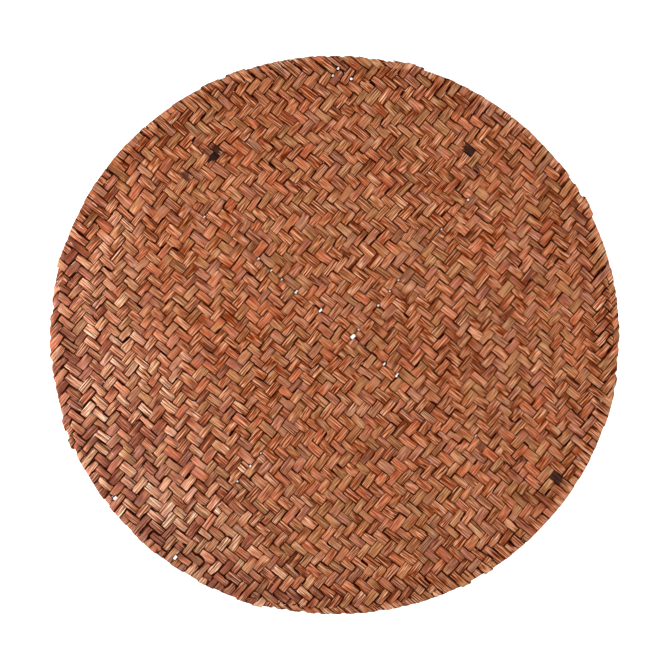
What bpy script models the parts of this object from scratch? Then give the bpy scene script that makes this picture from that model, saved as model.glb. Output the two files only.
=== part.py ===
"""A round placemat, plaited from dyed palm leaf strips, lying flat.

The mat is one piece: its strips pass over and under each other and turn
back at the rim, so it is modelled as one disc. The rim stands a little
higher than the field, because the turned strips lie on each other there,
and it steps out where the folds of the last strips end.
"""

from collections import namedtuple
from math import cos, hypot, radians, sin

import bmesh
import bpy

# Driving dimensions, in metres and degrees.
MAT_WIDTH = 0.3800              # the plain oval, left to right
MAT_DEPTH = 0.3733              # the plain oval, front to back
FIELD_THICKNESS = 0.0024        # two crowned strips, one over the other
RIM_THICKNESS = 0.0030          # three strips, where they turn back
RIM_BAND = 0.0150               # how far the raised rim reaches inwards
RIM_SLOPE = 0.0060              # the part of that band that slopes down to the field
EDGE_RADIUS = 0.0011            # round of the folds, seen from the side
EDGE_SEGMENTS = 3

OUTLINE_SPACING = 2.0           # degrees between the outline's points
STEP_FLANK = 0.4                # degrees that the side of a rim step takes up
CLEAR_OF_STEP = 0.8             # no plain outline point lies closer to a step, in degrees
FIELD_POINTS = 180
CUT_HEADROOM = 0.0010           # how far the field's cutter stands above the rim
WELD_DISTANCE = 0.00001

# Where folds end beside each other, the rim steps out or in. Degrees run
# counterclockwise from the right-hand side, and the rises are in metres.
RimStep = namedtuple("RimStep", "start end rise_at_start rise_at_end")
RIM_STEPS = [
    RimStep(26.0, 28.0, 0.0023, 0.0021),
    RimStep(30.0, 31.5, 0.0010, 0.0005),
    RimStep(34.0, 36.5, 0.0006, 0.0006),
    RimStep(71.5, 75.5, 0.0005, 0.0025),
    RimStep(109.0, 112.5, 0.0009, 0.0013),
    RimStep(115.0, 117.5, 0.0006, 0.0006),
    RimStep(162.5, 164.0, 0.0006, 0.0006),
    RimStep(165.5, 168.0, 0.0012, 0.0011),
    RimStep(169.5, 172.0, 0.0006, 0.0006),
    RimStep(174.0, 176.0, -0.0013, -0.0008),
    RimStep(187.0, 189.0, -0.0006, -0.0006),
    RimStep(196.0, 198.5, 0.0009, 0.0007),
    RimStep(200.4, 202.6, 0.0019, 0.0014),
    RimStep(250.5, 255.0, 0.0005, 0.0020),
    RimStep(256.5, 282.0, -0.0009, -0.0003),
    RimStep(296.4, 298.4, 0.0015, 0.0009),
    RimStep(302.0, 304.4, 0.0009, 0.0016),
    RimStep(341.5, 349.5, 0.0006, 0.0010),
    RimStep(353.0, 359.0, -0.0004, -0.0004),
]

# The dyed strips' own colour and finish.
LEAF_BROWN = (0.366, 0.130, 0.061, 1.0)
LEAF_ROUGHNESS = 0.5


def clear_scene():
    for old_object in list(bpy.data.objects):
        bpy.data.objects.remove(old_object, do_unlink=True)


def new_collection(name):
    collection = bpy.data.collections.new(name)
    bpy.context.scene.collection.children.link(collection)
    return collection


def leaf_material():
    material = bpy.data.materials.new("dyed_palm_leaf")
    material.use_nodes = True
    shader = material.node_tree.nodes["Principled BSDF"]
    shader.inputs["Base Color"].default_value = LEAF_BROWN
    shader.inputs["Roughness"].default_value = LEAF_ROUGHNESS
    shader.inputs["Metallic"].default_value = 0.0
    return material


def rim_rise(angle):
    """How far the rim stands out of the plain oval at this angle."""
    for step in RIM_STEPS:
        if step.start <= angle <= step.end:
            along = (angle - step.start) / (step.end - step.start)
            return step.rise_at_start + along * (step.rise_at_end - step.rise_at_start)
    return 0.0


def oval_radius(angle):
    across = 2.0 * cos(radians(angle)) / MAT_WIDTH
    along = 2.0 * sin(radians(angle)) / MAT_DEPTH
    return 1.0 / hypot(across, along)


def outline_angles():
    """Evenly spaced angles, with two at each side of a rim step instead."""
    edges = [edge for step in RIM_STEPS for edge in (step.start, step.end)]
    even = [OUTLINE_SPACING * i for i in range(int(360.0 / OUTLINE_SPACING))]
    angles = [a for a in even if min(abs(a - edge) for edge in edges) > CLEAR_OF_STEP]
    for step in RIM_STEPS:
        angles += [step.start - STEP_FLANK, step.start, step.end, step.end + STEP_FLANK]
    return sorted(angles)


def outline_points():
    """The rim's points, with the middle of their box at the origin."""
    points = []
    for angle in outline_angles():
        radius = oval_radius(angle) + rim_rise(angle)
        points.append((radius * cos(radians(angle)), radius * sin(radians(angle))))
    xs, ys = zip(*points)
    middle_x = (min(xs) + max(xs)) / 2.0
    middle_y = (min(ys) + max(ys)) / 2.0
    return [(x - middle_x, y - middle_y) for x, y in points]


def disc_with_round_edge(name, collection):
    """The whole mat at the rim's thickness, from a filled outline curve."""
    points = outline_points()
    curve = bpy.data.curves.new(name + "_outline", "CURVE")
    curve.dimensions = "2D"
    curve.fill_mode = "BOTH"
    curve.extrude = RIM_THICKNESS / 2.0 - EDGE_RADIUS
    curve.bevel_depth = EDGE_RADIUS
    curve.bevel_resolution = EDGE_SEGMENTS - 1
    curve.offset = -EDGE_RADIUS
    spline = curve.splines.new("POLY")
    spline.points.add(len(points) - 1)
    spline.use_cyclic_u = True
    for spline_point, (x, y) in zip(spline.points, points):
        spline_point.co = (x, y, 0.0, 1.0)
    outline = bpy.data.objects.new(name + "_outline", curve)
    outline.location.z = RIM_THICKNESS / 2.0
    collection.objects.link(outline)
    return solid_from_curve(outline, name, collection)


def solid_from_curve(outline, name, collection):
    """Makes a curve a mesh and welds its loose caps to its sides."""
    bpy.context.view_layer.update()
    evaluated = outline.evaluated_get(bpy.context.evaluated_depsgraph_get())
    mesh = bpy.data.meshes.new_from_object(evaluated)
    mesh.name = name
    welded = bmesh.new()
    welded.from_mesh(mesh)
    bmesh.ops.remove_doubles(welded, verts=welded.verts, dist=WELD_DISTANCE)
    bmesh.ops.recalc_face_normals(welded, faces=welded.faces)
    welded.to_mesh(mesh)
    welded.free()
    solid = bpy.data.objects.new(name, mesh)
    solid.matrix_world = outline.matrix_world
    collection.objects.link(solid)
    bpy.data.objects.remove(outline, do_unlink=True)
    return solid


def field_cutter(collection):
    """A shallow dish that lowers the field below the rim band."""
    cut_height = RIM_THICKNESS - FIELD_THICKNESS + CUT_HEADROOM
    slope_run = RIM_SLOPE * cut_height / (RIM_THICKNESS - FIELD_THICKNESS)
    low_radius = MAT_WIDTH / 2.0 - RIM_BAND
    bpy.ops.mesh.primitive_cone_add(
        vertices=FIELD_POINTS,
        radius1=low_radius,
        radius2=low_radius + slope_run,
        depth=cut_height,
        location=(0.0, 0.0, FIELD_THICKNESS + cut_height / 2.0),
    )
    cutter = bpy.context.object
    cutter.name = "field_cutter"
    cutter.scale.y = (MAT_DEPTH / 2.0 - RIM_BAND) / low_radius
    cutter.hide_render = True
    cutter.display_type = "WIRE"
    for home in list(cutter.users_collection):
        home.objects.unlink(cutter)
    collection.objects.link(cutter)
    return cutter


def build_mat():
    parts = new_collection("placemat")
    cutters = new_collection("cutters")
    mat = disc_with_round_edge("mat", parts)
    lower_field = mat.modifiers.new("lower_field", "BOOLEAN")
    lower_field.operation = "DIFFERENCE"
    lower_field.object = field_cutter(cutters)
    mat.data.materials.clear()
    mat.data.materials.append(leaf_material())
    return mat


clear_scene()
build_mat()
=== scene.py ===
# %% [markdown]
# # A round placemat, plaited from dyed palm leaf
# The real mat is plaited by hand from two sets of flat leaf strips that cross at a right
# angle. Each strip goes over two and under two. At the rim the strips turn back over the
# edge and are tucked into the plait below. This script makes every strip as a thin crowned
# ribbon, because the relief of the ribbons is what catches the light on such a mat.
# The imported solid is loaded first: it says how large the mat is and where its rim runs.

# %% Load the solid mat
import math
from functools import partial
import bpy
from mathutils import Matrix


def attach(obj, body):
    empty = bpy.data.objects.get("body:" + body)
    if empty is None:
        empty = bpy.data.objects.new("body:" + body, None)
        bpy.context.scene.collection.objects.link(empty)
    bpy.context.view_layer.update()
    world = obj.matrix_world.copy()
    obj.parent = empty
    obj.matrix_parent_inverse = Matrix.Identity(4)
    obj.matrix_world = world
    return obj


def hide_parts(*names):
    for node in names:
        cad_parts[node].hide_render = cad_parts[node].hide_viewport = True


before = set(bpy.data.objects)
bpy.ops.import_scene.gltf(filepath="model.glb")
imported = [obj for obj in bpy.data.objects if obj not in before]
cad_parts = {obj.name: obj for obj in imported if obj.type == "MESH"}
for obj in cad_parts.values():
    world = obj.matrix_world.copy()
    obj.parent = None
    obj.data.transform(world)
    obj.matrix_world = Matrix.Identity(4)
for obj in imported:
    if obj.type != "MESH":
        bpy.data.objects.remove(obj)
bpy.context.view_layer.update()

from types import SimpleNamespace

import bpy
import numpy as np
from mathutils import Vector
from mathutils.bvhtree import BVHTree

solid_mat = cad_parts["mat"]

# %% [markdown]
# ## The strips' measures
# All sizes are real ones, in metres. Leaf strips for such a mat are cut about 5.5 mm wide.
# The strips of one set rise to the right at 50.8 degrees as the mat is seen from above, and
# the others fall to the right, square to them. The plait was begun a little to the right of
# the mat's middle, and its pattern of nested squares spreads from that point.

# %% Sizes of the strips and of the plait
PITCH = 0.00552  # from one strip to the next of its set
RISING_ANGLE = math.radians(50.8)
FALLING_ANGLE = RISING_ANGLE - math.pi / 2.0
WEAVE_START = Vector((0.0123, -0.0020))
HALF_LEAF = 0.00038  # half the thickness of a crowned strip
WEAVE_LIFT = 0.00080  # how far a strip rises and dips in the field
FIELD_MIDDLE = 0.00120  # height of the plait's middle in the field
RIM_MIDDLE = 0.00150  # and at the rim, where three strips lie on each other
FOLD_RADIUS = 0.00110  # middle of a strip, where it turns back round the rim
OVAL_HALF_WIDTH = 0.1900  # the plain oval of the rim
OVAL_HALF_DEPTH = 0.18665
RIM_REACH = 1.20 * PITCH  # one set alone is on top this far in, along its folded strips
SECTOR_TURN = math.radians(12.6)
WORN_AND_HIGHLIT_WAY = (-0.86, -0.50, 0.0)  # from the middle towards the mat's most worn side, which is also painted with highlights

along_rising = Vector((math.cos(RISING_ANGLE), math.sin(RISING_ANGLE)))
along_falling = Vector((along_rising.y, -along_rising.x))

# %% [markdown]
# ## Where the rim runs
# The rim isn't an even oval: here and there a fold stands out by a millimetre or two. The
# solid has those steps, so the rim is read from it. Rays are cast inwards at half the rim's
# height, all round, and what they hit is compared with the plain oval.

# %% Read the rim from the solid
RAYS = 1440
RAY_START = 0.3


def oval_radius(angle):
    across = np.cos(angle) / OVAL_HALF_WIDTH
    away = np.sin(angle) / OVAL_HALF_DEPTH
    return 1.0 / np.hypot(across, away)


def rim_steps(solid):
    """How far the solid's rim stands out of the plain oval, for each ray."""
    corners = [v.co for v in solid.data.vertices]
    faces = [tuple(p.vertices) for p in solid.data.polygons]
    surface = BVHTree.FromPolygons(corners, faces)
    steps = []
    for angle in np.arange(RAYS) * math.tau / RAYS:
        outwards = Vector((math.cos(angle), math.sin(angle), 0.0))
        start = outwards * RAY_START + Vector((0.0, 0.0, RIM_MIDDLE))
        hit = surface.ray_cast(start, -outwards)[0]
        steps.append(math.hypot(hit.x, hit.y) - oval_radius(angle))
    return np.array(steps)


rim_step_table = rim_steps(solid_mat)
print("rim steps in mm, least and most:", np.round(1000 * np.percentile(rim_step_table, [0, 100]), 2))

# %% [markdown]
# ## The strips' paths
# Every strip starts as a straight path in the plait's own plane, with `along` running down
# the strip and `across` over it. A path stops inside the rim where the other set is folded
# over it, and it runs on past the rim where its own set is folded, by the turn and a tuck.
# The paths carry numbers for the node tree: where the strip's left and right edges lie,
# whether it folds, and how far the rim stands out there.
# Pinholes are places where the edges of four strips don't meet. Most of them lie on the two
# lines through the start of the plait, where the pattern changes sides. Beside a hole near
# the rim the tuck is short, or it would close the hole from below.

# %% Places of the pinholes
# Columns: strip edges across the falling and the rising strips' way, counted from the start,
# and the width of the hole along each, in millimetres.
PINHOLES = [
    (0, 0, 1.5, 2.7),
    (-23, 0, 0.7, 1.6), (-15, 0, 0.6, 1.5), (-13, 0, 0.7, 1.7), (-11, 0, 0.6, 1.6),
    (-9, 0, 0.7, 2.3), (-5, 0, 0.8, 2.6), (5, 0, 0.7, 1.9), (7, 0, 0.8, 2.2), (19, 0, 0.6, 1.5),
    (0, 1, 0.8, 0.9), (0, 5, 0.9, 1.0), (0, 7, 1.0, 1.1), (0, 9, 0.9, 1.0), (0, 17, 0.8, 1.0),
    (0, 22, 1.1, 1.1), (0, -18, 0.9, 1.0), (0, -20, 0.9, 1.1), (0, -22, 0.8, 1.0),
    (-22, 25, 1.3, 1.5), (-22, 24, 1.2, 1.4), (-22, 23, 1.0, 1.2), (-20, 24, 1.1, 1.2),
    (0, -34, 1.5, 2.8), (-10, -33, 1.5, 2.4),
]
HOLE_END = 0.26 * PITCH  # past a hole's end, a strip's edge is back in line this soon


def holes_beside(number, rising):
    """The holes at one strip's edges: where along it, on which side, how wide and how long."""
    found = []
    for hole_u, hole_v, wide_u, wide_v in PINHOLES:
        edge, there, width, length = (
            (hole_u, hole_v, wide_u, wide_v) if rising else (hole_v, hole_u, wide_v, wide_u)
        )
        if edge in (number, number + 1):
            side = -1 if edge == number else 1
            found.append((there * PITCH, side, 0.0005 * width, 0.0005 * length))
    return found


# %% Where a strip lies, and where it ends
TUCK = (1.1, 1.8)  # in strips: how far a strip goes on under the fold
SHORT_TUCK = 0.2 * PITCH  # the same beside a hole near the rim
NEAR_HOLE = 3.0 * PITCH
CALM_STEP = 0.0005  # how unevenly the strips end
WORN_STEP = 0.0012  # and how unevenly where the mat is worn, this far out:
WORN_RIM = 0.13
STOP_SHORT = 0.0002  # a strip that isn't folded stops this far from the fold
SEARCH = np.arange(0.0, 0.24, 0.0001)  # how far out a strip's end is looked for
FOLD_LENGTH = math.pi * FOLD_RADIUS

# the mat's middle, along each set's strips
WEAVE_MIDDLE = {True: -WEAVE_START.dot(along_rising), False: -WEAVE_START.dot(along_falling)}

dice = np.random.default_rng(11)


def to_mat(along, across, rising):
    """Places on the strips of one set, as x and y on the mat."""
    u, v = (across, along) if rising else (along, across)
    x = WEAVE_START.x + u * along_falling.x + v * along_rising.x
    y = WEAVE_START.y + u * along_falling.y + v * along_rising.y
    return x, y


def past_fold_line(along, across, rising, step):
    """How far each place lies beyond the line where the strips begin to turn down."""
    x, y = to_mat(along, across, rising)
    return np.hypot(x, y) - (oval_radius(np.arctan2(y, x)) + step - FOLD_RADIUS - HALF_LEAF)


def step_near(along, across, rising):
    """The rim's step at one end of a strip, read a little to both sides."""
    places = [to_mat(along, across + sideways * PITCH, rising) for sideways in (-0.35, 0.0, 0.35)]
    rays = [round(math.atan2(y, x) / math.tau * RAYS) % RAYS for x, y in places]
    return float(np.median(rim_step_table[rays]))


def strip_end(number, rising, way):
    """One end of a strip: the rim's step there, whether the strip folds, and its last point."""
    across = (number + 0.5) * PITCH
    places = WEAVE_MIDDLE[rising] + SEARCH * way
    meets = places[np.argmax(past_fold_line(places, across, rising, 0.0) > 0.0)]
    x, y = to_mat(meets, across, rising)
    unevenness = WORN_STEP if WORN_AND_HIGHLIT_WAY[0] * x + WORN_AND_HIGHLIT_WAY[1] * y > WORN_RIM else CALM_STEP
    step = step_near(meets, across, rising) + unevenness * dice.uniform(-0.7, 0.3)
    # this set folds where it is the one that lies on top along the rim
    rising_sector = math.sin(2.0 * (math.atan2(y, x) + SECTOR_TURN)) > 0.0
    folds = rising_sector == rising
    gaps = [past_fold_line(places, across + part * PITCH, rising, step) for part in (-0.5, 0.0, 0.5)]
    gap = np.minimum.reduce(gaps)
    if not folds:
        return step, folds, places[np.argmax(gap > -STOP_SHORT)]
    tuck = dice.uniform(*TUCK) * PITCH
    if any(abs(hole[0] - meets) < NEAR_HOLE for hole in holes_beside(number, rising)):
        tuck = SHORT_TUCK
    return step, folds, places[np.argmax(gap > FOLD_LENGTH)] + way * tuck


# %% Make the paths of one set of strips
RING_FRACTIONS = (0.0, 0.155, 0.5, 0.845)  # of a pitch, where a strip gets a ring of points
FINE_SPACING = 0.00045  # between rings round the fold
FINE_MARGIN = 0.0008  # the fine rings start and end this far from it
STRIP_SPREAD = 1.030  # a strip's width for each pitch
NARROW_SHARE = 0.15  # of the crossings where a strip's edge is a little short
NARROW_BY = (0.0002, 0.0008)
EDGE_ROUGHNESS = 0.00009  # how far a leaf's cut edge strays from a straight line
RIM_LOOSENESS = 2.0 * PITCH  # this near the rim, the strips grow narrower and lean
RIM_NARROWING = 0.06 * PITCH
RIM_LEAN = 0.035  # in strips
TUCK_SPREAD = 0.05 * PITCH  # how much wider a strip lies under the fold, on each side
PATH_FIELDS = ("along", "left", "right", "leaf", "step", "folds", "strip", "row", "start")


def strip_rings(first, last, across, rising, steps):
    """Places of the rings along one strip: even in the field, close together round the folds."""
    cells = np.arange(math.floor(first / PITCH) - 1, math.ceil(last / PITCH) + 1)
    places = np.array([PITCH * (cell + part) for cell in cells for part in RING_FRACTIONS])
    fine = np.arange(first, last, FINE_SPACING)
    near = np.zeros(len(fine), bool)
    for edge in (-0.5, 0.0, 0.5):
        for way, step in steps.items():
            gap = past_fold_line(fine, across + edge * PITCH, rising, step)
            this_end = fine * way > WEAVE_MIDDLE[rising] * way
            near |= (gap > -FINE_MARGIN) & (gap < FOLD_LENGTH + FINE_MARGIN) & this_end
    places = places[(places > first + 0.0002) & (places < last - 0.0002)]
    fine = fine[near]
    if len(fine):
        places = places[np.abs(places[:, None] - fine[None, :]).min(axis=1) > 0.6 * FINE_SPACING]
    return np.unique(np.concatenate([places, fine[(fine > first) & (fine < last)], [first, last]]))


def strip_paths(rising, numbers):
    """The points of these strips' paths: a table for each, with a column for each path field."""
    rows = []
    middle = WEAVE_MIDDLE[rising]
    for number in numbers:
        across = (number + 0.5) * PITCH
        if past_fold_line(np.array([middle]), across, rising, 0.0)[0] > -0.2 * PITCH:
            continue
        ends = {way: strip_end(number, rising, way) for way in (-1, 1)}
        first, last = ends[-1][2], ends[1][2]
        steps = {way: ends[way][0] for way in ends}
        rings = strip_rings(first, last, across, rising, steps)
        holes = holes_beside(number, rising)
        for there, side, push, reach in holes:
            whole = reach + HOLE_END
            corners = [there - whole, there - reach, there, there + reach, there + whole]
            rings = np.unique(np.concatenate([rings[np.abs(rings - there) > whole], corners]))
        half = 0.5 * STRIP_SPREAD * PITCH
        left = np.full(len(rings), across - half)
        right = np.full(len(rings), across + half)
        for there, side, push, reach in holes:
            near = np.clip(1.0 + (reach - np.abs(rings - there)) / HOLE_END, 0.0, 1.0)
            edge = left if side < 0 else right
            edge -= side * (push + half - PITCH / 2.0) * near
        cells = np.floor(rings / PITCH).astype(int)
        inside = np.where(np.abs(rings / PITCH - cells - 0.5) < 0.4, 1.0, 0.35)
        crossings = cells.max() - cells.min() + 1
        for edge, way in ((left, 1.0), (right, -1.0)):
            short = dice.uniform(*NARROW_BY, crossings) * (dice.random(crossings) < NARROW_SHARE)
            edge += way * short[cells - cells.min()] * inside
        left += dice.normal(0.0, EDGE_ROUGHNESS, len(rings))
        right += dice.normal(0.0, EDGE_ROUGHNESS, len(rings))
        for way in steps:
            inwards = -past_fold_line(rings, across, rising, steps[way])
            this_end = way * rings > way * middle
            near = np.clip(1.4 - inwards / RIM_LOOSENESS, 0.0, 1.0) * this_end
            short_left, short_right = dice.uniform(0.0, RIM_NARROWING, 2) * ends[way][1]
            lean = dice.uniform(-RIM_LEAN, RIM_LEAN) * PITCH
            # the tucked end below lies wide, so it closes the gaps between the folds
            tucked = np.clip(-inwards / FOLD_LENGTH * 4.0 - 2.0, 0.0, 1.0) * this_end
            near = near * (1.0 - tucked)
            left += near * (lean + short_left) - tucked * TUCK_SPREAD
            right += near * (lean - short_right) + tucked * TUCK_SPREAD
        leaf = np.ones(len(rings))
        leaf[[0, -1]] = 0.0
        step, folds = (np.where(rings > middle, ends[1][i], ends[-1][i]) for i in (0, 1))
        same = np.ones(len(rings))
        rows.append(np.column_stack([
            rings, left, right, leaf, step, folds, same * number, same * len(rows), same * first,
        ]))
    return rows


# %% [markdown]
# ## A helper for node trees
# A node tree is built in the script one node at a time. One helper adds a node, sets what it
# is told to set, and fills or links its sockets in their order. It gives back the node's
# first output, which the next node then takes. Maths nodes are asked for by what they do, in
# small letters, and all the others by Blender's own name for them.

# %% One function that adds a node
NODE_FAMILIES = ("GeometryNode", "ShaderNode", "FunctionNode", "Node")
SMOOTH = {"interpolation_type": "SMOOTHSTEP"}


def fill(tree, sockets, values):
    """Links each socket to its value, or sets it to it."""
    for socket, value in zip(sockets, values):
        if isinstance(value, bpy.types.NodeSocket):
            tree.links.new(value, socket)
        elif value is not None:
            socket.default_value = value


def node(tree, kind, *values, **settings):
    """Adds a node, such as "MapRange", or a maths node by its task, such as "vector scale"."""
    if kind.islower():
        settings["operation"] = kind.removeprefix("vector ").upper().replace(" ", "_")
        kind = "VectorMath" if kind.startswith("vector ") else "Math"
    made = tree.nodes.new(next(f + kind for f in NODE_FAMILIES if hasattr(bpy.types, f + kind)))
    for name, value in settings.items():
        setattr(made, name, value)
    fill(tree, [s for s in made.inputs if s.enabled], values)
    return next((s for s in made.outputs if s.enabled), made)


def new_geometry_tree(name, inputs, output, output_kind):
    """A tree with these sockets: the tree, the function that adds its nodes, and its inputs."""
    tree = bpy.data.node_groups.new(name, "GeometryNodeTree")
    for label, kind in inputs.items():
        tree.interface.new_socket(label, in_out="INPUT", socket_type="NodeSocket" + kind)
    tree.interface.new_socket(output, in_out="OUTPUT", socket_type="NodeSocket" + output_kind)
    make = partial(node, tree)
    return tree, make, make("GroupInput").node.outputs


# %% [markdown]
# ## Which strip is on top
# Count the strips of both sets outwards from the start of the plait. In a twill the sum of
# the two counts, taken over four, says which strip is on top. Counting outwards on both
# sides of the start turns the diagonal steps into nested squares, as on the real mat. Two
# of the four quarters have the rule the other way round. Along the rim the rule gives way:
# the set that meets the rim more squarely lies on top, so that it can be folded over. That
# holds for a little more than one strip, measured along the folded strips. On the worn side
# it holds for half of that, because there the plait goes on almost to the edge.
# The rule is a node group, because the tree asks it twice for each point.

# %% The weave rule as a node group
def rim_share(make, flat):
    """A place on the mat, and how far out it lies as a share of the plain oval's size."""
    turned = make("VectorRotate", flat, None, FALLING_ANGLE, rotation_type="Z_AXIS")
    place = make("vector add", turned, WEAVE_START.to_3d())
    scaled = make("vector multiply", place, (1.0 / OVAL_HALF_WIDTH, 1.0 / OVAL_HALF_DEPTH, 0.0))
    return place, make("vector length", scaled)


def weave_rule_group():
    labels = ("Own number", "Crossed number", "Rising", "Pitch", "Rim reach")
    kinds = dict.fromkeys(labels, "Float")
    tree, make, given = new_geometry_tree("which strip is on top", kinds, "On top", "Float")
    own, crossed, rising, pitch, reach = given[:5]
    i = make("Switch", rising, crossed, own, input_type="FLOAT")
    j = make("Switch", rising, own, crossed, input_type="FLOAT")
    middles = [make("add", number, 0.5) for number in (i, j)]
    count = make("add", *(make("absolute", middle) for middle in middles))
    upper = make("greater than", make("floored modulo", count, 4.0), 1.5)
    turned = make("less than", make("multiply", *middles), 0.0)
    rising_on_top = make("absolute", make("subtract", upper, turned))
    # the crossing's middle on the mat, and how near the rim it lies
    flat = make("CombineXYZ", *(make("multiply", middle, pitch) for middle in middles), 0.0)
    place, share = rim_share(make, flat)
    depth = make("multiply", make("subtract", 1.0, share), OVAL_HALF_DEPTH)
    # which set is folded over the rim there
    x, y = make("SeparateXYZ", place).node.outputs[:2]
    doubled = make("multiply add", make("arctan2", y, x), 2.0, 2.0 * SECTOR_TURN)
    sector = make("greater than", make("sine", doubled), 0.0)
    # how deep the reach goes, which is less where the folded strips lean and where it's worn
    both_ways = (along_falling.to_3d(), along_rising.to_3d())
    way = make("Switch", sector, *both_ways, input_type="VECTOR")
    lean = make("absolute", make("vector dot product", make("vector normalize", place), way))
    west = make("vector dot product", place, WORN_AND_HIGHLIT_WAY)
    less = make("MapRange", west, 0.12, 0.17, 1.0, 0.5)
    reach = make("multiply", make("multiply", reach, lean), less)
    at_rim = make("less than", depth, reach)
    rule = make("Switch", at_rim, rising_on_top, sector, input_type="FLOAT")
    other_way = make("subtract", 1.0, rule)
    on_top = make("Switch", rising, other_way, rule, input_type="FLOAT")
    make("GroupOutput", on_top)
    return tree


weave_rule = weave_rule_group()
print("weave rule:", len(weave_rule.nodes), "nodes")

# %% [markdown]
# ## The tree that plaits the strips
# The tree takes the paths, asks the weave rule for the height at each point, and sweeps one
# leaf section along every path. The section is a flat oval of ten points, because leaf strip
# is thin, springy and a little crowned. All the ribbons are swept flat and straight first,
# so that the section never twists. Then each point gets its place on the mat: the strips'
# widths vary and their lines wander, as in plaiting by hand, and what lies past the rim
# turns round the fold and back under.
# The tree keeps a few numbers on the mesh for the material: the place along and across each
# strip, the side of the strip, how deep a point lies in the plait, and how far past the line
# of the fold.

# %% The plait's node tree: heights and ribbons
SECTION_POINTS = 10
SECTION_SQUARENESS = 0.5  # below 1 the oval section gets fuller shoulders
CLIMB = (0.12, 0.88)  # where a strip's climb starts and ends, between two crossings


def weave_heights(make, given, paths):
    """Stores on every path point whether its strip is on top there, from 0 to 1."""
    along, strip = (make("InputNamedAttribute", name) for name in ("along", "strip"))
    cells = make("divide", along, given["Pitch"])
    cell = make("floor", cells)
    offset = make("subtract", make("subtract", cells, cell), 0.5)
    next_cell = make("add", cell, make("sign", offset))
    blend = make("MapRange", make("absolute", offset), *CLIMB, 0.0, 1.0, **SMOOTH)
    sizes = (given["Rising"], given["Pitch"], given["Rim reach"])
    both = (cell, next_cell)
    tops = [make("Group", strip, crossed, *sizes, node_tree=weave_rule) for crossed in both]
    on_top = make("Mix", blend, *tops)
    return make("StoreNamedAttribute", paths, None, "on_top", on_top)


def leaf_section(make):
    """An open ring whose two ends meet; its points know their side, crown and place in it."""
    arc = make("CurveArc", SECTION_POINTS + 1, 0.001, 0.0, math.tau, mode="RADIUS")
    ring = make("divide", make("InputIndex"), float(SECTION_POINTS))
    angle = make("multiply", ring, math.tau)
    numbers = {"ring": ring}
    for name, wave in (("side", "cosine"), ("crown", "sine")):
        round_part = make(wave, angle)
        full = make("power", make("absolute", round_part), SECTION_SQUARENESS)
        numbers[name] = make("multiply", full, make("sign", round_part))
    for name, value in numbers.items():
        arc = make("StoreNamedAttribute", arc, None, name, value)
    return arc


# %% The plait's node tree: uneven widths and lines
WIDTH_WAVE = 2.4  # in strips: how soon the strips' widths change
DRIFT_WAVE = 16.0  # in strips: how soon their lines drift
STRAIGHTNESS = 14.0  # in strips: how long a strip keeps its width
FULLNESS = (1.0, 1.03)  # a strip's width where it dives, and where it lies open
CALM_RIM = (0.86, 0.98)  # shares of the oval between which the hand grows steadier


def plain_place(make, given, read):
    """Where the points lie in the plait's plane before anything wanders, in metres."""
    fullness = make("MapRange", read["on_top"], 0.5, 0.95, *FULLNESS)
    half_side = make("multiply add", make("multiply", read["side"], fullness), 0.5, 0.5)
    across = make("Mix", half_side, read["left"], read["right"])
    if_rising = make("CombineXYZ", across, read["along"], 0.0)
    if_falling = make("CombineXYZ", read["along"], across, 0.0)
    return make("Switch", given["Rising"], if_falling, if_rising, input_type="VECTOR"), across


def wander(make, given, flat, share):
    """Moves the places as a hand does: uneven widths and drifting lines, less near the rim."""
    cells = make("vector scale", flat, given["Strips per metre"])
    looks = [
        ((1.0 / WIDTH_WAVE, 1.0 / STRAIGHTNESS, 0.0), 3.1, (1.0, 0.0, 0.0), "Uneven width"),
        ((1.0 / STRAIGHTNESS, 1.0 / WIDTH_WAVE, 0.0), 7.7, (0.0, 1.0, 0.0), "Uneven width"),
        ((1.0 / DRIFT_WAVE, 1.0 / DRIFT_WAVE, 0.0), 1.3, (1.0, 1.0, 0.0), "Drift"),
    ]
    total = None
    for scale, height, way, size in looks:
        spot = make("vector multiply add", cells, scale, (0.0, 0.0, height))
        cloud = make("TexNoise", spot, 1.0, 0.0).node.outputs["Color"]
        one_way = make("vector multiply", make("vector subtract", cloud, (0.5, 0.5, 0.5)), way)
        move = make("vector scale", one_way, given[size])
        total = make("vector add", total, move) if total else move
    calm = make("MapRange", share, *CALM_RIM, 1.0, 0.25, **SMOOTH)
    total = make("vector scale", total, calm)
    return make("vector add", flat, total)


# %% The plait's node tree: heights, and the fold round the rim
# Each pair says where a change starts and ends, in metres past the line of the fold.
THICKENING = (-0.0170, -0.0090)  # the plait grows as thick as the rim
FOLDING = (-0.0040, -0.0012)  # the folded set comes to the top, and the other goes below
LEVELLING = (-0.0035, -0.0003)  # floats that lie crooked come level
OPENING = (-0.0030, -0.0015)  # no strip is hidden any more


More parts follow.
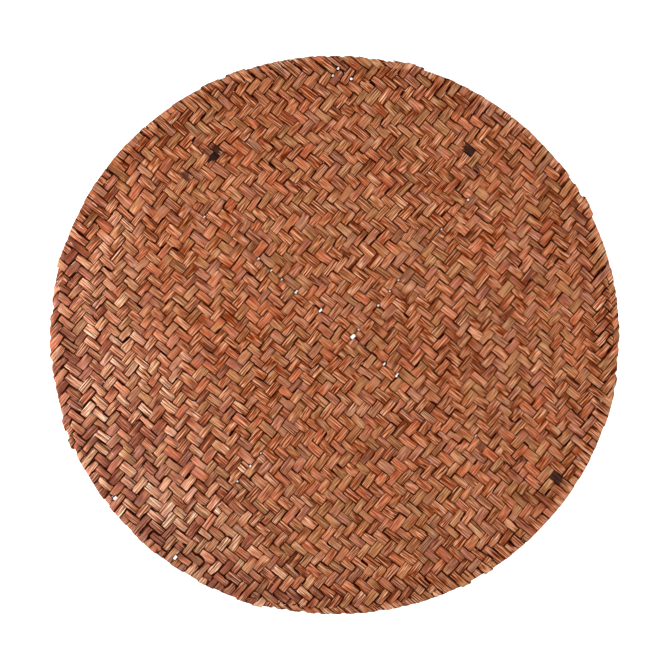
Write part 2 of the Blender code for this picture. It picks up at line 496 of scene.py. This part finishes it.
def height_in_plait(make, given, read, past):
    """The height of each point if nothing were folded, its share on top, and its skin."""
    near_rim = make("MapRange", past, *THICKENING, 0.0, 1.0, **SMOOTH)
    at_fold = make("MapRange", past, *FOLDING, 0.0, 1.0, **SMOOTH)
    on_top = make("Mix", at_fold, read["on_top"], read["folds"])
    field_top = make("add", given["Field middle"], given["Lift"])
    field_low = make("subtract", given["Field middle"], given["Lift"])
    rim_top = make("add", given["Rim middle"], given["Fold radius"])
    top = make("Mix", near_rim, field_top, rim_top)
    low = make("Mix", near_rim, field_low, given["Rim middle"])
    middle = make("Mix", on_top, low, top)
    leaf = make("multiply", given["Half leaf"], read["leaf"])
    skin = make("multiply", leaf, read["crown"])
    # each float lies a little crooked: higher or lower, and rolled to one side
    own = make("CombineXYZ", read["along"], read["strip"], given["Rising"])
    spot = make("vector multiply add", own, (60.0, 5.3, 9.0), (0.3, 0.6, 0.2))
    cloud = make("TexNoise", spot, 1.0, 1.0).node.outputs["Color"]
    parts = make("SeparateXYZ", cloud).node.outputs
    roll = make("multiply", make("subtract", parts[0], 0.5), read["side"])
    rise = make("subtract", parts[1], 0.5)
    crooked = make("multiply", make("add", roll, rise), given["Crooked"])
    level = make("MapRange", past, *LEVELLING, 1.0, 0.0, **SMOOTH)
    crooked = make("multiply", crooked, level)
    height = make("add", middle, skin)
    return make("add", height, crooked), on_top, skin


def mat_place(make, given, read):
    """The finished place of each point, folded round the rim where its strip folds."""
    flat, across = plain_place(make, given, read)
    flat = wander(make, given, flat, rim_share(make, flat)[1])
    place, share = rim_share(make, flat)
    far = make("vector length", place)
    rim = make("add", make("divide", far, share), read["step"])
    line = make("subtract", rim, make("add", given["Fold radius"], given["Half leaf"]))
    past = make("subtract", far, line)
    height, on_top, skin = height_in_plait(make, given, read, past)
    # round the fold, and what is left over goes back under
    turn = make("Clamp", make("divide", past, given["Fold radius"]), 0.0, math.pi)
    radius = make("add", given["Fold radius"], skin)
    fold_far = make("multiply add", radius, make("sine", turn), line)
    fold_height = make("multiply add", radius, make("cosine", turn), given["Rim middle"])
    way_round = make("multiply", given["Fold radius"], math.pi)
    tucked = make("maximum", make("subtract", past, way_round), 0.0)
    fold_far = make("subtract", fold_far, tucked)
    folded = make("multiply", make("greater than", past, 0.0), read["folds"])
    # a strip that doesn't fold stops short of the line, and nothing goes through the floor
    cut_far = make("minimum", far, make("subtract", line, STOP_SHORT))
    flat_far = make("Switch", read["folds"], cut_far, far, input_type="FLOAT")
    new_far = make("Switch", folded, flat_far, fold_far, input_type="FLOAT")
    new_height = make("Switch", folded, height, fold_height, input_type="FLOAT")
    new_height = make("maximum", new_height, 0.00001)
    ground = make("vector scale", make("vector normalize", place), new_far)
    finished = make("vector add", ground, make("CombineXYZ", 0.0, 0.0, new_height))
    hidden = make("subtract", 1.0, on_top)
    hidden = make("multiply", hidden, make("MapRange", past, *OPENING, 1.0, 0.0))
    sunk = make("Switch", folded, hidden, 0.0, input_type="FLOAT")
    return finished, across, sunk, past


# %% Put the plait's node tree together
SIZE_INPUTS = {
    "Pitch": PITCH, "Strips per metre": 1.0 / PITCH, "Lift": WEAVE_LIFT, "Half leaf": HALF_LEAF,
    "Field middle": FIELD_MIDDLE, "Rim middle": RIM_MIDDLE, "Fold radius": FOLD_RADIUS,
    "Rim reach": RIM_REACH, "Uneven width": 0.90 * PITCH, "Drift": 1.00 * PITCH,
    "Crooked": 0.00110, "Longest": 0.41,
}
RISING_NUMBERS = 200.0  # added to a rising strip's number, to tell the sets apart
BAKE_MARGIN = 0.02  # of a row in the map, left free on both sides of its strip


def plait_tree():
    floats = dict.fromkeys((*SIZE_INPUTS, "Rows"), "Float")
    kinds = {"Paths": "Geometry", "Rising": "Bool", **floats, "Finish": "Material"}
    tree, make, given = new_geometry_tree("plaited leaf strips", kinds, "Strips", "Geometry")
    paths = weave_heights(make, given, given["Paths"])
    strips = make("CurveToMesh", make("MeshToCurve", paths), leaf_section(make))
    names = PATH_FIELDS + ("on_top", "ring", "side", "crown")
    read = {n: make("InputNamedAttribute", n) for n in names}
    finished, across, sunk, past = mat_place(make, given, read)
    # numbers for the material, before the points move
    middle = make("multiply", make("add", read["strip"], 0.5), given["Pitch"])
    beside = make("subtract", across, middle)
    own_number = make("multiply add", given["Rising"], RISING_NUMBERS, read["strip"])
    leaf_place = make("CombineXYZ", read["along"], beside, own_number)
    # every strip gets its own row in the map that the materials are baked with
    run = make("divide", make("subtract", read["along"], read["start"]), given["Longest"])
    round_way = make("multiply add", read["ring"], 1.0 - 2.0 * BAKE_MARGIN, read["row"])
    round_way = make("divide", make("add", round_way, BAKE_MARGIN), given["Rows"])
    bake_place = make("CombineXYZ", run, round_way, 0.0)
    stored = [
        ("leaf_place", leaf_place, "FLOAT_VECTOR", "POINT"), ("sunk", sunk, "FLOAT", "POINT"),
        ("past_fold", past, "FLOAT", "POINT"), ("OFBake", bake_place, "FLOAT2", "CORNER"),
    ]
    for name, value, kind, domain in stored:
        strips = make("StoreNamedAttribute", strips, None, name, value, data_type=kind, domain=domain)
    strips = make("FlipFaces", make("SetPosition", strips, None, finished), given["Rising"])
    strips = make("SetShadeSmooth", make("MergeByDistance", strips, None, 0.000001))
    strips = make("SetMaterial", make("RealizeInstances", strips), None, given["Finish"])
    make("GroupOutput", strips)
    return tree


plait = plait_tree()
print("plait tree:", len(plait.nodes), "nodes")

# %% Turn paths into finished strips
KEPT_NUMBERS = ("leaf_place", "sunk", "past_fold", "side", "OFBake")


def add_object(name, data):
    made = bpy.data.objects.new(name, data)
    bpy.context.scene.collection.objects.link(made)
    return made


def paths_object(name, rows):
    """A mesh with one chain of edges for each path, and the paths' numbers on its points."""
    table = np.concatenate(rows)
    edges = []
    first = 0
    for row in rows:
        edges += [(first + i, first + i + 1) for i in range(len(row) - 1)]
        first += len(row)
    corners = np.zeros((len(table), 3))
    corners[:, 0] = table[:, 0]
    corners[:, 1] = table[:, PATH_FIELDS.index("strip")] * PITCH
    mesh = bpy.data.meshes.new(name)
    mesh.from_pydata(corners.tolist(), edges, [])
    for column, field in enumerate(PATH_FIELDS):
        numbers = mesh.attributes.new(field, "FLOAT", "POINT")
        numbers.data.foreach_set("value", np.ascontiguousarray(table[:, column], dtype=np.float32))
    return add_object(name, mesh)


def finished_mesh(source, tree, inputs, name, kept=()):
    """What a node tree makes of an object, as a plain mesh with only these attributes."""
    modifier = source.modifiers.new(tree.name, "NODES")
    modifier.node_group = tree
    sockets = {s.name: s.identifier for s in tree.interface.items_tree if s.in_out == "INPUT"}
    for label, value in inputs.items():
        modifier[sockets[label]] = value
    evaluated = source.evaluated_get(bpy.context.evaluated_depsgraph_get())
    mesh = bpy.data.meshes.new_from_object(evaluated)
    mesh.name = name
    old = source.data
    source.modifiers.clear()
    bpy.data.objects.remove(source)
    bpy.data.meshes.remove(old)
    own = (".", "position", "sharp", "material")
    spare = [a.name for a in mesh.attributes if not a.name.startswith(own) and a.name not in kept]
    for attribute in spare:
        mesh.attributes.remove(mesh.attributes[attribute])
    return add_object(name, mesh)


def inside_volume(mesh):
    """The room that a closed mesh fills, which is negative where its faces point inwards."""
    mesh.calc_loop_triangles()
    places = np.empty(3 * len(mesh.vertices))
    mesh.vertices.foreach_get("co", places)
    corners = np.empty(3 * len(mesh.loop_triangles), np.int32)
    mesh.loop_triangles.foreach_get("vertices", corners)
    a, b, c = places.reshape(-1, 3)[corners.reshape(-1, 3)].transpose(1, 0, 2)
    return float(np.einsum("ij,ij->i", a, np.cross(b, c)).sum() / 6.0)


def plait_strips(name, rising, numbers, finish):
    """The finished strips with these numbers, as one mesh."""
    rows = strip_paths(rising, numbers)
    source = paths_object(name + "_paths", rows)
    inputs = {"Rising": rising, **SIZE_INPUTS, "Rows": float(len(rows)), "Finish": finish}
    made = finished_mesh(source, plait, inputs, name, KEPT_NUMBERS)
    triangles = sum(len(p.vertices) - 2 for p in made.data.polygons)
    print(name, "has", len(rows), "strips,", triangles, "triangles,",
          round(1e6 * inside_volume(made.data), 1), "cubic centimetres")
    return made


# %% [markdown]
# ## Dyed palm leaf
# Palm leaf strip is boiled in dye, so its colour is uneven: each strip takes it differently,
# and the colour changes along a strip. The leaf's veins run down the strip as fine lines,
# and here and there the strip is split along them into slivers. Its skin has a dull satin
# gloss. The crevices get painted shade: a strip is painted darker at its edges and where it
# dips under the others than on its crown. Use shows as well: the left side is the most worn,
# and a few strips have stains. Light and shade are painted too: painted highlights and a pale
# painted sheen on the worn left side, with its falling strips painted paler; painted shade in
# blotches in a band inside the rim, and at the far left of the rim; and on the fold, painted
# light on the calm side and painted shade on the worn side.
# All of it is drawn in the strip's own coordinates, along and across, so the veins follow
# every strip round the fold. Veins are 0.1 to 0.2 mm apart on real leaf. That is too fine to
# show from a metre away, so they are drawn as bundles 0.6 to 0.7 mm apart, with a thicker
# rib every 1.3 mm.

# %% Colours, stains and random clouds
LEAF_TONES = [  # from the darkest strips to the palest
    (0.00, "#621902"), (0.16, "#8e441c"), (0.34, "#a6633c"), (0.52, "#ba7e5a"),
    (0.70, "#c99272"), (0.86, "#d9aa8c"), (1.00, "#eed0b2"),
]
# Red, olive and purple-brown tints, and between which cloud values each one comes in.
TINTS = (("#bc6040", 0.50, 0.68), ("#a07a4e", 0.52, 0.70), ("#9a6658", 0.54, 0.72))
# a pale painted sheen, which stands for highlights on the worn side
PAINTED_SHEEN_TINT = "#c4a090"
# painted shade: the brown towards a strip's edges and the near-black of its crevices
EDGE_SHADE_BROWN = "#8a4219"
CREVICE_SHADE_BROWN = "#2e0b02"
STAIN_BROWN = "#241511"
# Strip number, with 200 added for a rising strip; place along it, half length, strength.
STAINS = [
    (173, 0.0362, 0.0052, 0.97), (7, -0.1486, 0.0034, 0.88), (6, -0.1515, 0.0034, 0.50),
    (2, -0.1541, 0.0034, 0.75), (26, -0.0203, 0.0042, 0.92),
    (25, -0.0092, 0.0030, 0.60), (2, 0.1632, 0.0055, 0.90), (225, 0.0106, 0.0032, 0.65),
]
STAIN_BORDER = 0.0022  # how far a stain's border wavers
# How soon each cloud of random values changes: per metre along the strips, per metre across
# them and from one strip to the next. The last number is the amount of finer detail.
CLOUDS = {
    "dye": (48.0, 0.0, 3.71, 0.0),
    "batch": (8.0, 0.0, 7.13, 0.0),
    "coarse": (50.0, 0.0, 6.37, 0.0),
    "sliver": (35.0, 620.0, 5.17, 0.0),
    "veins": (22.0, 1380.0, 2.39, 0.4),
    "painted_shade_blotch": (110.0, 90.0, 6.91, 0.0),
    "waver": (20.0, 330.0, 2.93, 0.0),
    "clear": (90.0, 130.0, 8.93, 0.0),
    "pores": (150.0, 1750.0, 1.93, 0.5),
    "hue": (55.0, 60.0, 11.3, 0.0),
    "split": (16.0, 980.0, 9.41, 0.0),
    "where": (45.0, 60.0, 4.77, 0.0),
    "gap": (150.0, 260.0, 8.31, 0.0),
}
# What wear and the painted light and shade change, from the calm side of the mat to the worn one.
WEAR_AND_PAINTED_LIGHT = {
    # painted shade in the band inside the rim, more on the worn side
    "painted_rim_shade": (0.0, -0.12),
    # the fold: painted light on the calm side, painted shade on the worn side
    "painted_fold_light_and_shade": (0.15, -0.10),
    # a pale painted sheen for the highlights on the worn side
    "painted_sheen": (0.0, 0.14),
    # these four make the painted shade in the crevices wider or narrower
    "gap_there": (1.0, 1.4),
    "gap_more": (0.0, 0.01),
    "loose": (0.08, 0.12),
    "roundness": (0.06, 0.11),
}
FAR_LEFT_SHADE_WAY = (-0.97, 0.25, 0.0)  # from the middle towards the part of the rim that gets painted shade
RIB_SPACING = 0.00128  # between the leaf's thicker veins
VEIN_RELIEF = 0.00042


def linear(code):
    """An sRGB hex colour as the linear colour that Blender's shaders take."""
    parts = [int(code[i:i + 2], 16) / 255.0 for i in (1, 3, 5)]
    return [p / 12.92 if p <= 0.04045 else ((p + 0.055) / 1.055) ** 2.4 for p in parts] + [1.0]


def ramp(make, factor, stops):
    made = make("ValToRGB", factor).node
    band = made.color_ramp
    while len(band.elements) < len(stops):
        band.elements.new(0.5)
    for element, (place, code) in zip(band.elements, stops):
        element.position = place
        element.color = linear(code)
    return made.outputs["Color"]


def new_material(name):
    material = bpy.data.materials.new(name)
    material.use_nodes = True
    return material, partial(node, material.node_tree)


def set_shader(material, values):
    """Links or sets the named sockets of the material's shader."""
    tree = material.node_tree
    sockets = tree.nodes["Principled BSDF"].inputs
    fill(tree, [sockets[name] for name in values], values.values())


# %% What the leaf's material knows about a point
def leaf_facts(make):
    """A point's place on its strip, its part of the mat, the wear and painted light and shade there,
    and random clouds.
    """
    leaf = SimpleNamespace()
    place = make("Attribute", attribute_name="leaf_place").node.outputs["Vector"]
    names = ("side", "past_fold", "sunk")
    side, past, leaf.sunk = (make("Attribute", attribute_name=n).node.outputs["Fac"] for n in names)
    leaf.along, leaf.beside, leaf.number = make("SeparateXYZ", place).node.outputs[:3]
    leaf.off_middle = make("absolute", side)
    # a band inside the rim, and the fold itself
    band_starts = make("MapRange", past, -0.0210, -0.0080)
    band_ends = make("MapRange", past, -0.0055, -0.0015, 1.0, 0.0)
    leaf.rim_band = make("multiply", band_starts, band_ends)
    leaf.fold = make("MapRange", past, -0.0045, 0.0)
    # the left third of the mat is the most worn: its strips differ more and are split more, and it is
    # painted with highlights
    spot = make("TexCoord").node.outputs["Object"]
    worn = make("vector dot product", spot, WORN_AND_HIGHLIT_WAY)
    leaf.worn = make("MapRange", worn, 0.07, 0.16)
    # painted shade: the far left of the rim and the fold is painted darker
    dirty = make("vector dot product", spot, FAR_LEFT_SHADE_WAY)
    leaf.dirty = make("MapRange", dirty, 0.130, 0.180, 0.0, -0.27)
    leaf.wear = {n: make("MapRange", leaf.worn, 0.0, 1.0, *ends) for n, ends in WEAR_AND_PAINTED_LIGHT.items()}
    leaf.cloud = {}
    for name, (*scale, detail) in CLOUDS.items():
        on_strip = make("vector multiply", place, scale)
        leaf.cloud[name] = make("TexNoise", on_strip, 1.0, detail)
    return leaf


# %% How pale the leaf is
def leaf_tone(make, leaf):
    """The tone at each point, painted light and shade included: 0 for the darkest strips, 1 for the
    palest.
    """
    cloud = leaf.cloud
    # the dye changes every 20 mm or so; where it's worn, the tones spread wider, up to painted
    # highlights, and the falling strips are painted paler, as painted light
    tone = make("add", cloud["dye"], cloud["batch"])
    calm_tone = make("MapRange", tone, 0.68, 1.32, 0.47, 0.67)
    worn_tone = make("MapRange", tone, 0.75, 1.25, 0.16, 1.06)
    # painted light: on the worn side the falling strips are painted paler
    falling_strips_painted_paler = make("MapRange", leaf.number, 99.0, 101.0, 0.05, -0.07)
    worn_tone = make("add", worn_tone, falling_strips_painted_paler)
    tone = make("Mix", leaf.worn, calm_tone, worn_tone)
    # painted shade in blotches in the band inside the rim, and at the far left of it and of the fold;
    # on the fold, painted light on the calm side and painted shade on the worn side
    painted_shade_blotch = make("MapRange", cloud["painted_shade_blotch"], 0.40, 0.64, 0.08, -0.10)
    painted_shade_blotch = make("add", painted_shade_blotch, leaf.wear["painted_rim_shade"])
    painted_rim_light_and_shade = make("multiply", leaf.rim_band, painted_shade_blotch)
    painted_rim_light_and_shade = make("multiply add", leaf.fold, leaf.wear["painted_fold_light_and_shade"], painted_rim_light_and_shade)
    at_rim = make("maximum", leaf.fold, leaf.rim_band)
    painted_rim_light_and_shade = make("multiply add", at_rim, leaf.dirty, painted_rim_light_and_shade)
    # slivers and veins, which are plainer on some stretches than on others
    coarse = make("MapRange", cloud["coarse"], 0.42, 0.66, 0.36, 1.0)
    sliver_part = make("MapRange", cloud["sliver"], 0.3, 0.7, -0.04, 0.04)
    sliver_part = make("multiply", sliver_part, coarse)
    calm_veins = make("MapRange", cloud["veins"], 0.34, 0.58, -0.18, 0.02)
    # on the worn side the veins' pale streaks are painted glints as well as veins
    worn_veins = make("MapRange", cloud["veins"], 0.38, 0.62, -0.38, 0.22)
    vein_part = make("multiply", make("Mix", leaf.worn, calm_veins, worn_veins), coarse)
    # ribs: the leaf's thicker veins, side by side, that waver and fade along a strip
    waver = make("MapRange", cloud["waver"], 0.0, 1.0, -9.0, 9.0)
    rib_angle = make("multiply add", leaf.beside, math.tau / RIB_SPACING, waver)
    ribs = make("sine", rib_angle)
    rib_part = make("MapRange", ribs, -1.0, 1.0, -0.47, 0.11)
    clear = make("MapRange", cloud["clear"], 0.35, 0.65, 0.30, 1.0)
    clear = make("multiply add", leaf.rim_band, 0.25, clear)
    rib_part = make("multiply", rib_part, clear)
    pore_part = make("MapRange", cloud["pores"], 0.34, 0.66, -0.50, 0.18)
    # the crown of a strip is rubbed a little paler
    crown_part = make("MapRange", leaf.off_middle, 0.0, 0.60, 0.05, 0.0)
    for part in (painted_rim_light_and_shade, sliver_part, vein_part, rib_part, pore_part, crown_part):
        tone = make("add", tone, part)
    return tone


# %% Where the leaf is split, gets painted shade, or is stained
def leaf_splits(make, leaf):
    """Thin lines that open and close along the veins, more of them at the rim and where worn."""
    off = make("absolute", make("subtract", leaf.cloud["split"], 0.5))
    line = make("MapRange", off, 0.01, 0.06, 1.0, 0.0)
    splits_here = make("maximum", leaf.rim_band, leaf.worn)
    more = make("MapRange", splits_here, 0.0, 1.0, 0.0, 0.17)
    where = make("MapRange", make("add", leaf.cloud["where"], more), 0.49, 0.58)
    return make("multiply", line, where)


def leaf_shade_and_splits(make, leaf, split):
    """Painted shade in the crevices, at a strip's outer edges and where it dips below the others, and
    the dark lines of its splits.
    """
    # the band of painted shade along the edges is wider or narrower here and there, wider on the worn
    # side and inside the rim
    gap = make("MapRange", leaf.cloud["gap"], 0.32, 0.68, -0.10, 0.12)
    gap = make("multiply add", gap, leaf.wear["gap_there"], leaf.wear["gap_more"])
    gap = make("add", gap, make("multiply", leaf.rim_band, leaf.wear["loose"]))
    # a float's ends look rounded, because the painted shade of the crevice is wider there
    corner = make("multiply", make("MapRange", leaf.sunk, 0.02, 0.34), leaf.wear["roundness"])
    reach = make("add", make("add", leaf.off_middle, gap), corner)
    # painted shade towards a strip's edges and where it dips under the others
    edge = make("MapRange", reach, 0.85, 0.95)
    dip = make("MapRange", leaf.sunk, 0.34, 0.50)
    return make("maximum", make("maximum", edge, dip), make("multiply", split, 0.90))


def leaf_stains(make, leaf):
    """How strongly the leaf is stained: each stain lies on one strip, with an uneven border."""
    border = make("MapRange", leaf.cloud["sliver"], 0.3, 0.7, -STAIN_BORDER, STAIN_BORDER)
    stained = 0.0
    for strip, there, half_length, strength in STAINS:
        on_strip = make("compare", leaf.number, float(strip), 0.4)
        away = make("absolute", make("subtract", leaf.along, there))
        away = make("add", away, border)
        patch = make("MapRange", away, 0.75 * half_length, half_length, strength, 0.0)
        patch = make("multiply", patch, on_strip)
        stained = make("maximum", patch, stained)
    return stained


# %% The leaf's material
def dyed_palm_leaf():
    material, make = new_material("dyed_palm_leaf_strip")
    leaf = leaf_facts(make)
    split = leaf_splits(make, leaf)
    shade_and_splits = leaf_shade_and_splits(make, leaf, split)
    colour = ramp(make, leaf_tone(make, leaf), LEAF_TONES)
    # each cover goes over the ones before it: tints, a pale painted sheen, painted shade on the edges
    # and in the crevices, stains
    hues = make("SeparateColor", leaf.cloud["hue"].node.outputs["Color"]).node.outputs
    covers = []
    for hue, (code, low, high) in zip(hues, TINTS):
        covers.append((make("MapRange", hue, low, high, 0.0, 0.40), code))
    covers += [
        (leaf.wear["painted_sheen"], PAINTED_SHEEN_TINT),
        (make("MapRange", shade_and_splits, 0.0, 0.5, 0.0, 0.85), EDGE_SHADE_BROWN),
        (make("MapRange", shade_and_splits, 0.35, 1.0), CREVICE_SHADE_BROWN),
        (leaf_stains(make, leaf), STAIN_BROWN),
    ]
    for share, code in covers:
        colour = make("Mix", share, colour, linear(code), data_type="RGBA")
    # dull satin skin: the veins are a little rougher than the leaf between them
    rough = make("MapRange", leaf.cloud["veins"], 0.3, 0.7, 0.42, 0.58)
    relief = make("subtract", make("add", leaf.cloud["veins"], leaf.cloud["pores"]), split)
    bump = make("Bump", 1.0, VEIN_RELIEF, None, relief)
    set_shader(material, {
        "Base Color": colour, "Roughness": rough, "Normal": bump,
        "IOR": 1.48, "Specular IOR Level": 0.05,
    })
    return material


leaf_finish = dyed_palm_leaf()

# %% [markdown]
# ## Plait the mat
# Four pieces hold all the strips: each set in two halves. That keeps each piece small enough
# for the tools that read the finished meshes. The loose slivers below are the fifth piece.

# %% Plait the four groups of strips
groups = [
    plait_strips("rising_strips_left", True, range(-36, -2), leaf_finish),
    plait_strips("rising_strips_right", True, range(-2, 33), leaf_finish),
    plait_strips("falling_strips_front", False, range(-36, -1), leaf_finish),
    plait_strips("falling_strips_back", False, range(-1, 34), leaf_finish),
]

# %% [markdown]
# ## Loose slivers
# Old leaf frays. Thin slivers spring loose and lie over the strips, most of them at the worn
# left side and along the rim. One end still sits in its strip and the other stands up a
# little. A ray cast down finds the strip under each one, and the sliver runs along it.

# %% Where the slivers lie
SLIVERS = 130
SLIVER_THICKNESS = 0.00016
SLIVER_SIZES = {  # least and most, in metres, and in radians for the angles
    "length": (0.0030, 0.0075),
    "width": (0.00018, 0.00042),
    "swing": (-0.16, 0.16),
    "tilt": (0.02, 0.09),
}
RAY_HEIGHT = 0.02  # where a ray starts, well above the mat
RAY_LENGTH = 0.03


def sliver_points():
    """A mesh of single points above the mat, with each sliver's sizes on it."""
    sliver_dice = np.random.default_rng(5)
    far = np.sqrt(sliver_dice.uniform(0.55, 0.985, SLIVERS))
    angle = np.radians(sliver_dice.normal(195.0, 38.0, SLIVERS))
    all_round = sliver_dice.random(SLIVERS) < 0.35
    angle = np.where(all_round, sliver_dice.uniform(0.0, math.tau, SLIVERS), angle)
    far = np.where(all_round, sliver_dice.uniform(0.90, 0.985, SLIVERS), far)
    x = OVAL_HALF_WIDTH * far * np.cos(angle)
    y = OVAL_HALF_DEPTH * far * np.sin(angle)
    places = np.column_stack([x, y, np.full(SLIVERS, RAY_HEIGHT)])
    mesh = bpy.data.meshes.new("sliver_points")
    mesh.from_pydata(places.tolist(), [], [])
    for field, (least, most) in SLIVER_SIZES.items():
        sizes = sliver_dice.uniform(least, most, SLIVERS)
        mesh.attributes.new(field, "FLOAT", "POINT").data.foreach_set("value", sizes)
    return add_object("sliver_points", mesh)


# %% The slivers' node tree
def sliver_tree(pieces):
    kinds = {"Points": "Geometry", "Thickness": "Float", "Finish": "Material"}
    tree, make, given = new_geometry_tree("loose slivers", kinds, "Slivers", "Geometry")
    ground = make("JoinGeometry")
    for piece in pieces:
        info = make("ObjectInfo", piece).node
        tree.links.new(info.outputs["Geometry"], ground.node.inputs[0])
    leaf_place = make("InputNamedAttribute", "leaf_place", data_type="FLOAT_VECTOR")
    down = (0.0, 0.0, -1.0)
    ray = make("Raycast", ground, leaf_place, None, down, RAY_LENGTH, data_type="FLOAT_VECTOR").node
    found = next(s for s in ray.outputs if s.name == "Attribute" and s.enabled)
    number = make("SeparateXYZ", found).node.outputs[2]
    on_rising = make("greater than", number, RISING_NUMBERS / 2.0)
    way = make("Switch", on_rising, FALLING_ANGLE, RISING_ANGLE, input_type="FLOAT")
    length, width, swing, tilt = (make("InputNamedAttribute", n) for n in SLIVER_SIZES)
    way = make("add", way, swing)
    tilt = make("multiply", tilt, -1.0)
    turn = make("CombineXYZ", 0.0, tilt, way)
    size = make("CombineXYZ", length, width, given["Thickness"])
    missed = make("BooleanMath", ray.outputs["Is Hit"], operation="NOT")
    points = make("SetPosition", given["Points"], None, ray.outputs["Hit Position"])
    points = make("DeleteGeometry", points, missed)
    # a sliver is one long cone with four sides, laid along x
    cone = make("MeshCone", 4, 1, 1, 0.12, 0.5, 1.0)
    laid = make("Transform", cone, None, (math.pi / 4.0, math.pi / 2.0, 0.0))
    slivers = make("InstanceOnPoints", points, None, laid, None, None, turn, size)
    slivers = make("SetMaterial", make("RealizeInstances", slivers), None, given["Finish"])
    make("GroupOutput", slivers)
    return tree


def pale_leaf_fibre():
    """Freshly split leaf: the dye hasn't reached it, so it is paler than the skin."""
    material, make = new_material("pale_split_leaf")
    spot = make("TexCoord").node.outputs["Object"]
    cloud = make("TexNoise", spot, 90.0, 0.0)
    colour = ramp(make, cloud, [(0.38, "#a9673f"), (0.50, "#cf9a72"), (0.62, "#ecd0b4")])
    set_shader(material, {"Base Color": colour, "Roughness": 0.5})
    return material


# %% Lay the slivers
sliver_inputs = {"Thickness": SLIVER_THICKNESS, "Finish": pale_leaf_fibre()}
slivers = finished_mesh(sliver_points(), sliver_tree(groups), sliver_inputs, "loose_slivers")
print("loose slivers:", len(slivers.data.polygons), "faces,",
      round(1e9 * inside_volume(slivers.data), 2), "cubic millimetres")

# %% [markdown]
# ## Floor, light and camera
# The mat lies on a plain white floor that glows a little, so that it stays as white as a
# photo's background. One low lamp at the left catches the left ends of the strips, and three
# soft lamps stand round the mat, higher up. The camera looks straight down from a metre.

# %% Floor
FLOOR_HALF = 1.5
FLOOR_HEIGHT = -0.0001  # just below the mat, so that the two don't touch


def pale_floor():
    signs = ((-1, -1), (1, -1), (1, 1), (-1, 1))
    corners = [(x * FLOOR_HALF, y * FLOOR_HALF, FLOOR_HEIGHT) for x, y in signs]
    mesh = bpy.data.meshes.new("floor")
    mesh.from_pydata(corners, [], [(0, 1, 2, 3)])
    floor = add_object("floor", mesh)
    material = new_material("matt_white_board")[0]
    set_shader(material, {
        "Base Color": linear("#d8d8d6"), "Roughness": 0.9,
        "Emission Color": (1.0, 1.0, 1.0, 1.0), "Emission Strength": 1.0,
    })
    mesh.materials.append(material)


pale_floor()


# %% Light
def soft_lamp(name, place, size, power):
    """A square lamp that faces the mat's middle."""
    lamp = bpy.data.lights.new(name, "AREA")
    lamp.shape = "SQUARE"
    lamp.size = size
    lamp.energy = power
    made = add_object(name, lamp)
    made.location = place
    made.rotation_euler = (-Vector(place)).to_track_quat("-Z", "Y").to_euler()


soft_lamp("low_lamp_left", (-0.46, -0.06, 0.11), 0.08, 2.7)
soft_lamp("soft_lamp_right", (0.80, 0.15, 0.90), 0.60, 11.2)
soft_lamp("soft_lamp_back", (-0.10, 0.80, 0.90), 0.60, 6.5)
soft_lamp("soft_lamp_front", (-0.15, -0.80, 0.90), 0.60, 6.3)
world = bpy.data.worlds.new("soft_room_light")
world.use_nodes = True
background = world.node_tree.nodes["Background"].inputs
background["Color"].default_value = (1.0, 1.0, 1.0, 1.0)
background["Strength"].default_value = 0.03
bpy.context.scene.world = world
bpy.context.scene.view_settings.view_transform = "Standard"

# %% Camera
VIEW_WIDTH = 0.4459  # what the picture shows, side to side, at this height:
VIEW_HEIGHT = 0.0024
VIEW_MIDDLE = 0.0003  # the picture's middle is this far to the right of the mat's
LENS = 85.0
SENSOR = 36.0
camera_data = bpy.data.cameras.new("camera")
camera_data.lens = LENS
camera_data.sensor_width = SENSOR
camera = add_object("camera", camera_data)
camera.location = (VIEW_MIDDLE, 0.0, VIEW_WIDTH * LENS / SENSOR + VIEW_HEIGHT)
bpy.context.scene.camera = camera

# %% [markdown]
# ## Attach the pieces
# Each piece rides on the mat's only body and stands for the solid, which is hidden. A half
# of the strips is a sheet that covers half the mat.

# %% Attach the pieces to the body and hide the solid
flats = [(0.190, 0.376), (0.190, 0.376), (0.376, 0.190), (0.376, 0.190)]
for piece, flat in zip(groups, flats):
    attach(piece, "root")
    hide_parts("mat")

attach(slivers, "root")
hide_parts("mat")
